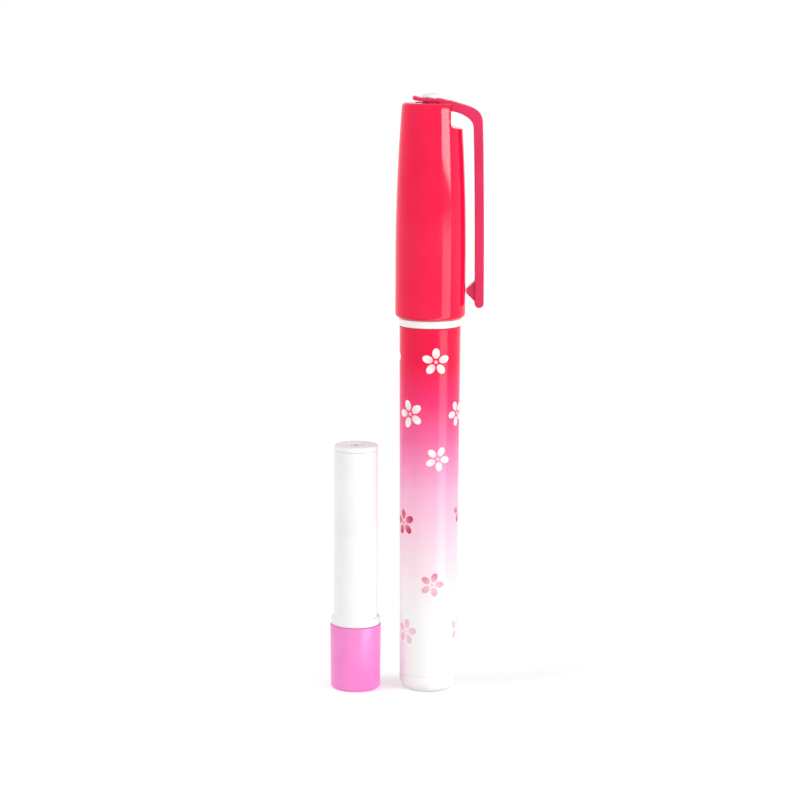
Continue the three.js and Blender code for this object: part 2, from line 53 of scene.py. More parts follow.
onRingWithin = 0.004  # millimetres; a point this close to a ring is on it
near = 0.1  # millimetres; how far past a place the points picked there may lie


# Measuring on the frame, in millimetres

def heights(node):
    low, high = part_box(node)
    return low.z / mm, high.z / mm


def middleX(node):
    low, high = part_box(node)
    return (low.x + high.x) / 2 / mm


# Small tools for modelling

def objectMode():
    if bpy.context.mode != "OBJECT":
        bpy.ops.object.mode_set(mode="OBJECT")


def startFresh():
    objectMode()
    bpy.ops.object.select_all(action="DESELECT")


def makeActive(piece):
    startFresh()
    piece.select_set(True)
    bpy.context.view_layer.objects.active = piece


def pickEdges(test):  # edit mode: selects the edges whose two ends pass the test
    bpy.ops.mesh.select_mode(type="EDGE")
    bpy.ops.mesh.select_all(action="DESELECT")
    mesh = bmesh.from_edit_mesh(bpy.context.object.data)
    for edge in mesh.edges:
        if test(edge.verts[0].co / mm) and test(edge.verts[1].co / mm):
            edge.select_set(True)
    bmesh.update_edit_mesh(bpy.context.object.data)


def pickVerts(test):  # edit mode: selects the points that pass the test
    bpy.ops.mesh.select_mode(type="VERT")
    bpy.ops.mesh.select_all(action="DESELECT")
    mesh = bmesh.from_edit_mesh(bpy.context.object.data)
    for vert in mesh.verts:
        vert.select_set(test(vert.co / mm))
    bmesh.update_edit_mesh(bpy.context.object.data)


def onRing(radius, height):
    def test(point):
        reach = math.hypot(point.x, point.y)
        return abs(reach - radius) < onRingWithin and abs(point.z - height) < onRingWithin
    return test


def joinFlat(test):  # edit mode: joins the flat faces that meet at the edges that pass the test
    pickEdges(test)
    bpy.ops.mesh.dissolve_limited(angle_limit=math.radians(0.1))


def roundPicked(size, segments):  # edit mode: rounds the selected edges
    bpy.ops.mesh.bevel(offset=size * mm, segments=segments, profile=0.5, affect="EDGES", clamp_overlap=False)


def finishMesh(piece, angle=32):
    makeActive(piece)
    bpy.ops.object.mode_set(mode="EDIT")
    bpy.ops.mesh.select_all(action="SELECT")
    bpy.ops.mesh.remove_doubles(threshold=0.002 * mm)
    bpy.ops.mesh.normals_make_consistent(inside=False)
    objectMode()
    bpy.ops.object.shade_smooth_by_angle(angle=math.radians(angle))


def applyModifier(piece, kind, **settings):
    makeActive(piece)
    modifier = piece.modifiers.new(kind.lower(), kind)
    for name, value in settings.items():
        setattr(modifier, name, value)
    bpy.ops.object.modifier_apply(modifier=modifier.name)


def roundSharp(piece, size, segments, angle, clamp=False):  # rounds the edges sharper than the angle
    applyModifier(
        piece, "BEVEL", width=size * mm, segments=segments, limit_method="ANGLE",
        angle_limit=math.radians(angle), use_clamp_overlap=clamp,
    )


def evenShading(piece):  # keeps flat faces flat beside rounded edges
    applyModifier(piece, "WEIGHTED_NORMAL", weight=60, keep_sharp=True)


def combine(piece, other, operation="DIFFERENCE"):
    applyModifier(piece, "BOOLEAN", operation=operation, solver="EXACT", object=other)
    bpy.data.objects.remove(other)


# A turned piece: a circle is raised and resized from station to station, [height, radius], then
# the ends are filled, or bridged where the profile closes on itself. Last, the rings in rounds,
# [height, radius, size], are rounded, and the piece moves to its axis.
def turnPiece(name, stations, rounds=(), closed=False, axisX=0, segments=96):
    startFresh()
    height, radius = stations[0]
    bpy.ops.mesh.primitive_circle_add(vertices=segments, radius=radius * mm, location=(0, 0, height * mm))
    piece = bpy.context.object
    piece.name = name
    piece.data.name = name
    bpy.ops.object.transform_apply(location=True, rotation=True, scale=True)
    bpy.ops.object.mode_set(mode="EDIT")
    bpy.ops.mesh.select_mode(type="EDGE")
    bpy.ops.mesh.select_all(action="SELECT")
    for nextHeight, nextRadius in stations[1:]:
        rise = (nextHeight - height) * mm
        bpy.ops.mesh.extrude_region_move(TRANSFORM_OT_translate={"value": (0, 0, rise)})
        swell = nextRadius / radius
        bpy.ops.transform.resize(value=(swell, swell, 1), center_override=(0, 0, nextHeight * mm))
        height, radius = nextHeight, nextRadius
    if closed:
        mesh = bmesh.from_edit_mesh(piece.data)
        for edge in mesh.edges:
            edge.select_set(len(edge.link_faces) == 1)
        bmesh.update_edit_mesh(piece.data)
        bpy.ops.mesh.bridge_edge_loops()
    else:
        for endHeight, endRadius in (stations[0], stations[-1]):
            pickEdges(onRing(endRadius, endHeight))
            bpy.ops.mesh.edge_face_add()
    for ringHeight, ringRadius, size in rounds:
        pickEdges(onRing(ringRadius, ringHeight))
        roundPicked(size, segments=5)
    bpy.ops.mesh.select_all(action="SELECT")
    bpy.ops.transform.translate(value=(axisX * mm, 0, 0))
    finishMesh(piece)
    evenShading(piece)
    return piece


def rod(sides, radius, low, high, axisX=0):
    startFresh()
    bpy.ops.mesh.primitive_cylinder_add(
        vertices=sides, radius=radius * mm, depth=(high - low) * mm,
        location=(axisX * mm, 0, (low + high) / 2 * mm),
    )
    bpy.ops.object.transform_apply(location=True, rotation=True, scale=True)
    return bpy.context.object


def block(low, high):
    startFresh()
    size = [high[i] - low[i] for i in range(3)]
    middle = [(high[i] + low[i]) / 2 * mm for i in range(3)]
    bpy.ops.mesh.primitive_cube_add(size=mm, location=middle)
    bpy.context.object.scale = size
    bpy.ops.object.transform_apply(location=True, rotation=True, scale=True)
    return bpy.context.object


def bezier(start, pullStart, pullEnd, end, steps):  # points of a curve, as [x, z]
    points = []
    for i in range(steps + 1):
        t = i / steps
        s = 1 - t
        weights = (s ** 3, 3 * s * s * t, 3 * s * t * t, t ** 3)
        corners = (start, pullStart, pullEnd, end)
        points.append([sum(w * c[k] for w, c in zip(weights, corners)) for k in (0, 1)])
    return points


# Shader maths: a wire is one output of a node, and an expression on wires adds Math nodes.
class Wire:
    def __init__(self, tree, socket=None):
        self.tree = tree
        self.socket = socket

    def add(self, kind, settings=None, sockets=None, out=0):
        node = self.tree.nodes.new(kind)
        for name, value in (settings or {}).items():
            if name == "stops":
                self.fillRamp(node.color_ramp, value)
            else:
                setattr(node, name, value)
        for name, value in (sockets or {}).items():
            self.plug(node.inputs[name], value)
        return Wire(self.tree, node.outputs[out])

    def plug(self, target, value):
        if isinstance(value, Wire):
            self.tree.links.new(value.socket, target)
        else:
            target.default_value = value

    def fillRamp(self, ramp, stops):
        while len(ramp.elements) < len(stops):
            ramp.elements.new(0.5)
        for element, (place, colour) in zip(ramp.elements, stops):
            element.position = place
            element.color = colour

    def math(self, operation, first, second=None):
        values = {0: first} if second is None else {0: first, 1: second}
        return self.add("ShaderNodeMath", {"operation": operation}, values)

    def __add__(self, other):
        return self.math("ADD", self, other)

    def __radd__(self, other):
        return self.math("ADD", other, self)

    def __sub__(self, other):
        return self.math("SUBTRACT", self, other)

    def __rsub__(self, other):
        return self.math("SUBTRACT", other, self)

    def __mul__(self, other):
        return self.math("MULTIPLY", self, other)

    def __rmul__(self, other):
        return self.math("MULTIPLY", other, self)

    def __truediv__(self, other):
        return self.math("DIVIDE", self, other)

    def __pow__(self, other):
        return self.math("POWER", self, other)

    def __mod__(self, other):
        return self.math("FLOORED_MODULO", self, other)

    def whole(self):
        return self.math("FLOOR", self)

    def ease(self, low, high):  # 0 below low, 1 above high, smooth between
        values = {0: self, 1: low, 2: high, 3: 0.0, 4: 1.0}
        return self.add("ShaderNodeMapRange", {"interpolation_type": "SMOOTHSTEP"}, values)

    def noise(self, scale, detail, roughness=0.5):  # on a point
        values = {"Vector": self, "Scale": scale, "Detail": detail, "Roughness": roughness}
        return self.add("ShaderNodeTexNoise", {}, values)

    def parts(self):
        split = self.tree.nodes.new("ShaderNodeSeparateXYZ")
        self.tree.links.new(self.socket, split.inputs[0])
        return [Wire(self.tree, output) for output in split.outputs]

    def mixColour(self, share, first, second):
        mixed = self.tree.nodes.new("ShaderNodeMix")
        mixed.data_type = "RGBA"
        for index, value in ((0, share), (6, first), (7, second)):
            self.plug(mixed.inputs[index], value)
        return Wire(self.tree, mixed.outputs[2])


def shade(red, green, blue):  # a colour as it should look, 0 to 255, made linear
    def linear(value):
        value = value / 255
        return value / 12.92 if value <= 0.04045 else ((value + 0.055) / 1.055) ** 2.4
    return (linear(red), linear(green), linear(blue), 1)


def newMaterial(name, fixed):
    material = bpy.data.materials.new(name)
    material.use_nodes = True
    tree = material.node_tree
    shader = tree.nodes["Principled BSDF"]
    for socket, value in fixed.items():
        shader.inputs[socket].default_value = value
    return material, shader, Wire(tree)


def objectPoint(wire):
    return wire.add("ShaderNodeTexCoord", out=3)


def surface(wire, shader, colour, gloss, relief, strength, depth):  # the depth is in millimetres
    bump = wire.add("ShaderNodeBump", {}, {"Strength": strength, "Distance": depth * mm, "Height": relief})
    for socket, value in (("Base Color", colour), ("Roughness", gloss), ("Normal", bump)):
        wire.plug(shader.inputs[socket], value)


def scuffing(point, scale):  # fine handling marks
    return point.noise(scale, 5.0, 0.7)


# Moulded plastic: slow mottling in the colour, a faint orange peel and an uneven gloss.
def mouldedPlastic(name, look):
    c = plasticGrain
    material, shader, wire = newMaterial(name, look["fixed"])
    point = objectPoint(wire)
    mottle = point.noise(look["mottleScale"], 3.0)
    peel = point.noise(look["peelScale"], 1.5)
    scuff = scuffing(point, c["scuffScale"])
    colour = wire.mixColour(mottle.ease(*toneSpan), look["deep"], look["light"])
    gloss = look["roughness"] + look["unevenness"] * scuff.ease(*scuffSpan)
    relief = peel * c["peelShare"] + scuff * c["scuffShare"]
    surface(wire, shader, colour, gloss, relief, look["peel"], c["depth"])
    return material


# The barrel's print: the ground fades from crimson to white, with small five-petalled blossoms.
# They stand in a staggered lattice of whole cells round the tube, so that the print has no seam,
# and dice thrown for each cell shift, turn and size its blossom, or leave it out.
def printedBarrel(name, look):
    fullTurn = 2 * math.pi
    material, shader, wire = newMaterial(name, look["fixed"])
    point = objectPoint(wire)
    x, y, z = point.parts()
    height = z / mm
    turn = wire.math("ARCTAN2", y, x) / fullTurn
    mottle = point.noise(look["mottleScale"], 2.0) - 0.5
    fade = (height + mottle * look["mottle"]) / look["printTop"]
    ground = wire.add("ShaderNodeValToRGB", {"stops": look["ground"]}, {0: fade})

    row = (height / look["rowHeight"] + look["rowShift"]).whole()
    along = turn * look["columns"] + (row % 2.0) * 0.5 + look["turnShift"]
    column = along.whole()
    cell = wire.add("ShaderNodeCombineXYZ", {}, {0: column % look["columns"], 1: row, 2: look["seed"]})
    dice = wire.add("ShaderNodeTexWhiteNoise", {"noise_dimensions": "3D"}, {"Vector": cell}, out=1)
    dieX, dieY, dieZ = dice.parts()
    cellWidth = fullTurn * look["radius"] / look["columns"]
    across = (along - column - 0.5 - (dieX - 0.5) * look["scatter"]) * cellWidth
    upward = (height / look["rowHeight"] + look["rowShift"] - row - 0.5 - (dieY - 0.5) * look["scatter"])
    upward = upward * look["rowHeight"]
    size = look["petalReach"] * (1 - look["sizeSpread"] / 2 + dieZ * look["sizeSpread"])
    reach = wire.math("SQRT", across * across + upward * upward) / size
    angle = wire.math("ARCTAN2", upward, across) + dieZ * fullTurn
    step = fullTurn / look["petals"]
    inPetal = angle % step - step / 2
    outward = reach * wire.math("COSINE", inPetal) - look["petalMiddle"]
    sideways = reach * wire.math("SINE", inPetal)
    lengthwise = (outward / look["petalLength"]) ** 2.0
    crosswise = (sideways / look["petalWidth"]) ** 2.0
    blossom = 1 - wire.math("SQRT", lengthwise + crosswise).ease(*look["petalEdge"])
    eye = 1 - reach.ease(*look["eyeEdge"])
    printed = wire.math("MAXIMUM", blossom, eye * look["eyeInk"])
    present = wire.math("LESS_THAN", dieX * 0.5 + dieY * 0.5, look["share"])
    aboveFoot = wire.math("GREATER_THAN", row, 0.5)
    mask = printed * present * aboveFoot

    petalStops = {"stops": look["petalColours"]}
    petalTone = wire.add("ShaderNodeValToRGB", petalStops, {0: height / look["printTop"]})
    heart = wire.mixColour((1 - outward.ease(*look["heartEdge"])) * look["heartInk"], petalTone, ground)
    colour = wire.mixColour(mask, ground, heart)
    scuff = scuffing(point, look["scuffScale"])
    gloss = look["roughness"] + look["unevenness"] * (scuff.ease(*scuffSpan) + mask)
    relief = mask * look["inkRelief"] + scuff * look["scuffRelief"]
    surface(wire, shader, colour, gloss, relief, look["relief"], look["depth"])
    return material


# The glue: waxy, with fine streaks along the stick and a grain of tiny pits
def waxyGlue(name, look):
    material, shader, wire = newMaterial(name, look["fixed"])
    point = objectPoint(wire)
    stretched = wire.add("ShaderNodeMapping", {}, {"Vector": point, "Scale": look["stretch"]})
    streak = stretched.noise(1.0, 3.0)
    pits = point.noise(look["pitScale"], 2.0)
    colour = wire.mixColour(streak.ease(*toneSpan), look["deep"], look["light"])
    gloss = look["roughness"] + look["unevenness"] * pits.ease(*look["pitSpan"])
    relief = pits * look["pitShare"] + streak * look["streakShare"]
    surface(wire, shader, colour, gloss, relief, look["relief"], look["depth"])
    return material


# Noise scales are per metre, and the depths of a relief are in millimetres.
toneSpan = (0.3, 0.7)  # the part of the mottling that shows in the colour
scuffSpan = (0.35, 0.75)  # the part of the scuffing that shows in the gloss
plasticGrain = {"scuffScale": 260.0, "peelShare": 0.7, "scuffShare": 0.3, "depth": 0.06}
crimsonLook = {
    "deep": shade(238, 14, 66), "light": shade(243, 20, 72), "mottleScale": 120.0,
    "peelScale": 520.0, "peel": 0.05, "roughness": 0.06, "unevenness": 0.04,
    "fixed": {"IOR": 1.3},
}
clipLook = {
    "deep": shade(222, 26, 84), "light": shade(228, 33, 93), "mottleScale": 120.0,
    "peelScale": 520.0, "peel": 0.06, "roughness": 0.22, "unevenness": 0.06,
    "fixed": {"IOR": 1.45},
}
whiteLook = {
    "deep": shade(238, 238, 236), "light": shade(243, 243, 241), "mottleScale": 90.0,
    "peelScale": 480.0, "peel": 0.06, "roughness": 0.24, "unevenness": 0.08,
    "fixed": {"IOR": 1.45},
}
satinWhiteLook = {
    "deep": shade(236, 237, 237), "light": shade(242, 242, 241), "mottleScale": 110.0,
    "peelScale": 700.0, "peel": 0.1, "roughness": 0.38, "unevenness": 0.1,
    "fixed": {"IOR": 1.45},
}
innerWhiteLook = {
    "deep": shade(228, 228, 224), "light": shade(236, 236, 232), "mottleScale": 140.0,
    "peelScale": 800.0, "peel": 0.12, "roughness": 0.42, "unevenness": 0.1,
    "fixed": {"IOR": 1.45},
}
refillPinkLook = {
    "deep": shade(242, 126, 201), "light": shade(246, 140, 208), "mottleScale": 100.0,
    "peelScale": 560.0, "peel": 0.06, "roughness": 0.2, "unevenness": 0.07,
    "fixed": {"IOR": 1.45},
}
glueLook = {
    "deep": shade(238, 158, 196), "light": shade(244, 178, 210), "stretch": (900.0, 900.0, 60.0),
    "pitScale": 2200.0, "pitSpan": (0.4, 0.7), "pitShare": 0.6, "streakShare": 0.4, "roughness": 0.42,
    "unevenness": 0.2, "relief": 0.3, "depth": 0.08,
    "fixed": {"IOR": 1.42},
}
barrelPrintLook = {
    "printTop": 84.0,  # millimetres; the places in both ramps are shares of this height
    "ground": [
        (0.225, shade(242, 242, 240)), (0.33, shade(245, 226, 231)), (0.46, shade(245, 202, 219)),
        (0.56, shade(245, 178, 208)), (0.64, shade(244, 142, 186)), (0.71, shade(243, 106, 158)),
        (0.81, shade(242, 52, 112)), (0.92, shade(238, 10, 68)),
    ],
    "petalColours": [
        (0.16, shade(238, 196, 206)), (0.30, shade(232, 170, 190)), (0.38, shade(198, 40, 88)),
        (0.50, shade(206, 44, 92)), (0.56, shade(246, 246, 244)),
    ],
    "radius": 6.8, "columns": 3.0, "rowHeight": 12.6, "rowShift": 0.25, "turnShift": 0.1, "seed": 3.0,
    "scatter": 0.42, "share": 0.8, "petals": 5, "petalReach": 3.05, "sizeSpread": 0.28,
    "petalMiddle": 0.62, "petalLength": 0.38, "petalWidth": 0.27, "petalEdge": (0.93, 1.04),
    "eyeEdge": (0.10, 0.15), "eyeInk": 0.85, "heartEdge": (-0.5, 0.3), "heartInk": 0.35,
    "mottleScale": 90.0, "mottle": 1.2, "scuffScale": 240.0, "roughness": 0.14, "unevenness": 0.05,
    "inkRelief": 0.6, "scuffRelief": 0.15, "relief": 0.25, "depth": 0.04,
    "fixed": {"IOR": 1.3},
}

crimson = mouldedPlastic("crimsonPlastic", crimsonLook)
clipCrimson = mouldedPlastic("clipPlastic", clipLook)
white = mouldedPlastic("whitePlastic", whiteLook)
satinWhite = mouldedPlastic("satinWhitePlastic", satinWhiteLook)
innerWhite = mouldedPlastic("innerWhitePlastic", innerWhiteLook)
refillPink = mouldedPlastic("refillPinkPlastic", refillPinkLook)
glue = waxyGlue("waxyGlue", glueLook)
barrelPrint = printedBarrel("barrelPrint", barrelPrintLook)
print("materials made")


def dress(piece, material, body, *nodes):  # its material, its body, and the CAD nodes that it stands for
    piece.data.materials.clear()
    piece.data.materials.append(material)
    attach(piece, body)
    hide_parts(*nodes)


# Barrel and its tail

barrelValues = {"tailRadius": 6.6, "mouthRadius": 7, "wall": 0.95, "tailEdge": 0.05, "mouthEdge": 0.2}
v = barrelValues
base, top = heights("barrel")
barrelTube = turnPiece(
    "barrelTube",
    [
        [base, v["tailRadius"] - v["wall"]],
        [base, v["tailRadius"]],
        [top, v["mouthRadius"]],
        [top, v["mouthRadius"] - v["wall"]],
    ],
    rounds=[[base, v["tailRadius"], v["tailEdge"]], [top, v["mouthRadius"], v["mouthEdge"]]],
    closed=True,
    segments=128,
)
dress(barrelTube, barrelPrint, "barrel", "barrel")

tailValues = {
    "radius": 6.6, "draft": 0.12, "edge": 2.6, "seam": 0.02, "seamEdge": 0.05, "spigotRadius": 5.5, "wall": 1,
}
v = tailValues
floorHeight, plugTop = heights("tail_plug")
shoulder = base - v["seam"]
tailEnd = turnPiece(
    "tailEnd",
    [
        [floorHeight, v["radius"] - v["draft"]],
        [shoulder, v["radius"]],
        [shoulder, v["spigotRadius"]],
        [plugTop, v["spigotRadius"]],
        [plugTop, v["spigotRadius"] - v["wall"]],
        [shoulder - v["wall"], v["spigotRadius"] - v["wall"]],
    ],
    rounds=[[floorHeight, v["radius"] - v["draft"], v["edge"]], [shoulder, v["radius"], v["seamEdge"]]],
)
dress(tailEnd, white, "barrel", "tail_plug")
print("barrel and tail made")


# Twist neck: sleeve, white ring, and the neck that the cap closes on

neckValues = {
    "sleeveRadius": 5.9, "ringRadius": 7.2, "ringThickness": 1.75, "ringEdge": 0.35, "neckRadius": 6.55,
    "boreRadius": 5.3, "gripShare": 0.4, "gripRise": 0.12, "gripHeight": 1, "mouthEdge": 0.5,
}
v = neckValues
sleeveBase, neckTop = heights("twist_neck")
ringBase = top + faceGap
ringTop = ringBase + v["ringThickness"]
grip = ringTop + (neckTop - ringTop) * v["gripShare"]
twistNeck = turnPiece(
    "twistNeck",
    [
        [sleeveBase, v["boreRadius"]],
        [sleeveBase, v["sleeveRadius"]],
        [ringBase, v["sleeveRadius"]],
        [ringBase, v["ringRadius"]],
        [ringTop, v["ringRadius"]],
        [ringTop, v["neckRadius"]],
        [grip - v["gripHeight"], v["neckRadius"]],
        [grip, v["neckRadius"] + v["gripRise"]],
        [grip + v["gripHeight"], v["neckRadius"]],
        [neckTop, v["neckRadius"]],
        [neckTop, v["boreRadius"]],
    ],
    rounds=[
        [ringBase, v["ringRadius"], v["ringEdge"]],
        [ringTop, v["ringRadius"], v["ringEdge"]],
        [neckTop, v["neckRadius"], v["mouthEdge"]],
    ],
    closed=True,
)
dress(twistNeck, white, "front_section", "twist_neck")
print("twist neck made")


# Pen cap: crowned shell, notch under the clip, slot for the tongue

capValues = {
    "radius": 8.03, "topRadius": 6.66, "straight": 14, "lip": 1.0, "topEdge": 0.8, "mouthBore": 6.75,
    "shoulder": 12.85, "sealBase": 6.35, "sealTop": 5.6, "sealHeight": 41.6, "notchWall": 4.3,
    "notchDepth": 5.3, "notchFillet": 0.8, "notchSlope": 0.21, "slotReach": 3.6, "slotWidth": 4.8,
    "slotDepth": 0.7, "cutPast": 4, "cutZone": 7, "cutEdge": 0.08, "crownSteps": 16,
}
v = capValues
capBase, capTop = heights("cap_shell")
crownStart = capBase + v["straight"]


def capRadius(height):  # straight near the mouth, then drawn in as a parabola
    share = max(0, height - crownStart) / (capTop - crownStart)
    return capValues["radius"] - (capValues["radius"] - capValues["topRadius"]) * share ** 2


crown = [crownStart + (capTop - crownStart) * i / v["crownSteps"] for i in range(v["crownSteps"] + 1)]
capShell = turnPiece(
    "capShell",
    [[capTop, v["topRadius"] * 0.5]]
    + [[height, capRadius(height)] for height in reversed(crown)]
    + [
        [capBase, v["radius"]],
        [capBase, v["mouthBore"]],
        [capBase + v["shoulder"], v["mouthBore"]],
        [capBase + v["shoulder"], v["sealBase"]],
        [capBase + v["sealHeight"], v["sealTop"]],
    ],
    rounds=[[capTop, v["topRadius"], v["topEdge"]], [capBase, v["radius"], v["lip"]]],
    segments=160,
)
notchFloor = capTop - v["notchDepth"]
outside = 2 * v["radius"]
openTop = capTop + v["cutPast"]  # cutters reach past the faces that they open
notch = block((v["notchWall"], -outside, notchFloor), (outside, outside, openTop))
makeActive(notch)
bpy.ops.object.mode_set(mode="EDIT")  # the notch's floor falls outwards, and its root is rounded
pickVerts(lambda point: point.x > outside - near and point.z < notchFloor + near)
bpy.ops.transform.translate(value=(0, 0, -v["notchSlope"] * (outside - v["notchWall"]) * mm))
pickEdges(lambda point: point.x < outside - near and point.z < notchFloor + near)
roundPicked(v["notchFillet"], segments=6)
finishMesh(notch)
combine(capShell, notch)
slotLow = (-v["slotReach"], -v["slotWidth"] / 2, capTop - v["slotDepth"])
slotHigh = (v["notchWall"] + v["cutPast"], v["slotWidth"] / 2, openTop)
combine(capShell, block(slotLow, slotHigh))
finishMesh(capShell, angle=30)
bpy.ops.object.mode_set(mode="EDIT")
# The flat faces that the cuts split are joined again, so that the rounding has even edges to follow.
joinFlat(lambda point: point.z > capTop - v["cutZone"])
finishMesh(capShell, angle=30)
roundSharp(capShell, v["cutEdge"], segments=2, angle=60)
finishMesh(capShell, angle=30)
evenShading(capShell)
dress(capShell, crimson, "cap", "cap_shell")
print("pen cap made")


# The seal inside the cap, with a tower up to the cap's roof

innerCapValues = {
    "wall": 1, "baseRadius": 6.2, "topRadius": 5.45, "boreTopRadius": 4.95, "cornerReach": 0.9,
    "cornerDrop": 0.5, "towerRadius": 2.8, "towerRise": 5.75, "endRing": 1.6, "baseEdge": 0.2, "topEdge": 0.4,
}
v = innerCapValues
sealBase, towerTop = heights("inner_cap")
sealTop = towerTop - v["towerRise"]
innerCap = turnPiece(
    "innerCap",
    [
        [sealTop - v["wall"], v["boreTopRadius"] - v["cornerReach"]],
        [sealTop - v["wall"] - v["cornerDrop"], v["boreTopRadius"]],
        [sealBase, v["baseRadius"] - v["wall"]],
        [sealBase, v["baseRadius"]],
        [sealTop, v["topRadius"]],
        [sealTop, v["towerRadius"]],
        [towerTop, v["towerRadius"]],
        [towerTop, v["endRing"]],
    ],
    rounds=[[sealBase, v["baseRadius"], v["baseEdge"]], [sealTop, v["topRadius"], v["topEdge"]]],
)
dress(innerCap, innerWhite, "cap", "inner_cap")
print("inner cap made")


# Clip: one moulding, tongue, arch and leg, with a wedge at the end

clipValues = {
    "width": 4.6, "edge": 0.24, "archRise": 0.5, "archThickness": 2.35, "archHeight": 5.1, "archPull": 3.9,
    "archSlope": 1 / 3, "innerPull": 0.6, "innerDrop": 0.1, "cornerPull": 3.7, "legTopX": 11.6,
    "legBow": 0.55, "legThickness": 2.1, "wedgeWidth": 3.2, "wedgeHeight": 4.6, "wedgeTip": 0.8,
    "wedgeMiddle": 6.1, "wedgeGap": 0.12, "wedgeEdge": 0.15, "wallGap": 0.04, "tongueReach": 4.3,
    "tongueInset": 0.6, "seatRise": 0.47, "seatShare": 0.3, "noseCurl": 0.7, "noseShare": 0.45,
    "noseThickness": 1.0, "leafLift": 0.85, "liftShare": 0.5, "rootReach": 0.5, "bossRadius": 2.0,
    "bossSides": 48, "noseSteps": 6, "leafSteps": 18, "archSteps": 28, "legSteps": 12, "footSteps": 7,
    "footFlat": 0.4,
}
v = clipValues
notchWall = capValues["notchWall"]
archTop = capTop + v["archRise"]
archBase = archTop - v["archThickness"]
rootX = notchWall + v["wallGap"]
tongueBase = capTop - v["tongueInset"]
elbow = archTop - v["archHeight"]
innerElbow = elbow - v["legThickness"] / 2
innerTopX = v["legTopX"] - v["legThickness"]
legEnd = heights("pocket_clip")[0]
ankle = legEnd + v["legThickness"] / 2


def tongueShare(x):  # 0 at the notch wall, 1 at the tongue's free end
    return (notchWall - x) / (notchWall + clipValues["tongueReach"])


def smooth(share):  # from 0 to 1 with level ends
    share = min(1, max(0, share))
    return share * share * (3 - 2 * share)


def noseLift(x):
    c = clipValues
    return max(0, (tongueShare(x) - 1 + c["noseShare"]) / c["noseShare"]) ** 2


def tongueTop(x):  # up from the arch to the stud's seat, then curled up at the nose
    c = clipValues
    return archTop + c["seatRise"] * smooth(tongueShare(x) / c["seatShare"]) + c["noseCurl"] * noseLift(x)


def tongueUnder(x):  # in its slot at the root, then clear of the cap, and up again at the nose
    c = clipValues
    leafUnder = tongueBase + c["leafLift"] * smooth(tongueShare(x) / c["liftShare"])
    noseUnder = tongueTop(-c["tongueReach"]) - c["noseThickness"]
    return leafUnder + (noseUnder - leafUnder) * noseLift(x)


def legOuter(height):  # the leg bows outward towards its foot
    share = max(0, height - ankle) / (elbow - ankle)
    return clipValues["legTopX"] + clipValues["legBow"] * (1 - share ** 2)


upper = []  # the clip's outer side, from the tongue's free end to the foot of the leg, as [x, z]
lower = []  # the inner side, point for point
nose = v["noseThickness"] / 2
noseX = nose - v["tongueReach"]
for i in range(1, v["noseSteps"] + 1):
    turn = math.pi / 2 * i / v["noseSteps"]
    x = noseX - nose * math.cos(turn)
    middle = (tongueTop(noseX) + tongueUnder(noseX)) / 2
    lift = (tongueTop(noseX) - tongueUnder(noseX)) / 2 * math.sin(turn)
    upper.append([x, middle + lift])
    lower.append([x, middle - lift])
for i in range(1, v["leafSteps"] + 1):
    x = noseX + (notchWall - noseX) * i / v["leafSteps"]
    upper.append([x, tongueTop(x)])
    lower.append([x, tongueUnder(x)])
archRoot = len(upper)
upper += bezier(
    (rootX, archTop), (rootX + v["archPull"], archTop - v["archSlope"] * v["archPull"]),
    (v["legTopX"], elbow + v["cornerPull"]), (v["legTopX"], elbow), v["archSteps"],
)
innerPull, innerDrop = v["innerPull"] * v["archPull"], v["innerDrop"] * v["archThickness"]
lower += bezier(
    (rootX, archBase), (rootX + innerPull, archBase - innerDrop),
    (innerTopX, innerElbow + v["legThickness"]), (innerTopX, innerElbow), v["archSteps"],
)
for side in (upper, lower):
    del side[archRoot + 1]  # this point lies closer to the root's corner than the rounding reaches
for i in range(1, v["legSteps"] + 1):
    height = elbow + (ankle - elbow) * i / v["legSteps"]
    upper.append([legOuter(height), height])
    lower.append([legOuter(height) - v["legThickness"], height])
footMiddle = legOuter(ankle) - v["legThickness"] / 2
for i in range(1, v["footSteps"] + 1):
    turn = math.pi / 2 * i / (v["footSteps"] + v["footFlat"])
    reach = v["legThickness"] / 2 * math.cos(turn)
    height = ankle - v["legThickness"] / 2 * math.sin(turn)
    upper.append([footMiddle + reach, height])
    lower.append([footMiddle - reach, height])

startFresh()  # one flank is a strip between both sides, and extruding it across makes the clip
bpy.ops.mesh.primitive_grid_add(x_subdivisions=1, y_subdivisions=len(upper) - 1, size=mm)
pocketClip = bpy.context.object
pocketClip.name = "pocketClip"
for i, pair in enumerate(zip(lower, upper)):
    for k, (x, z) in enumerate(pair):
        pocketClip.data.vertices[2 * i + k].co = Vector((x, -v["width"] / 2, z)) * mm
bpy.ops.object.mode_set(mode="EDIT")
bpy.ops.mesh.select_all(action="SELECT")
bpy.ops.mesh.extrude_region_move(TRANSFORM_OT_translate={"value": (0, v["width"] * mm, 0)})
bpy.ops.mesh.select_all(action="SELECT")
bpy.ops.mesh.normals_make_consistent(inside=False)
# The flanks get one flat face at each end and one at the root.
joinFlat(lambda point: point.x < noseX + near)
joinFlat(lambda point: point.z < ankle + near)
joinFlat(lambda point: rootX - near < point.x < rootX + v["rootReach"])
bpy.ops.mesh.select_all(action="DESELECT")
bpy.ops.mesh.edges_select_sharp(sharpness=math.radians(60))
mesh = bmesh.from_edit_mesh(pocketClip.data)
for edge in mesh.edges:  # the rims of both flanks are rounded, and the corners across the clip are not
    if abs(edge.verts[0].co.y - edge.verts[1].co.y) > near * mm:
        edge.select_set(False)
bmesh.update_edit_mesh(pocketClip.data)
roundPicked(v["edge"], segments=4)
finishMesh(pocketClip, angle=40)

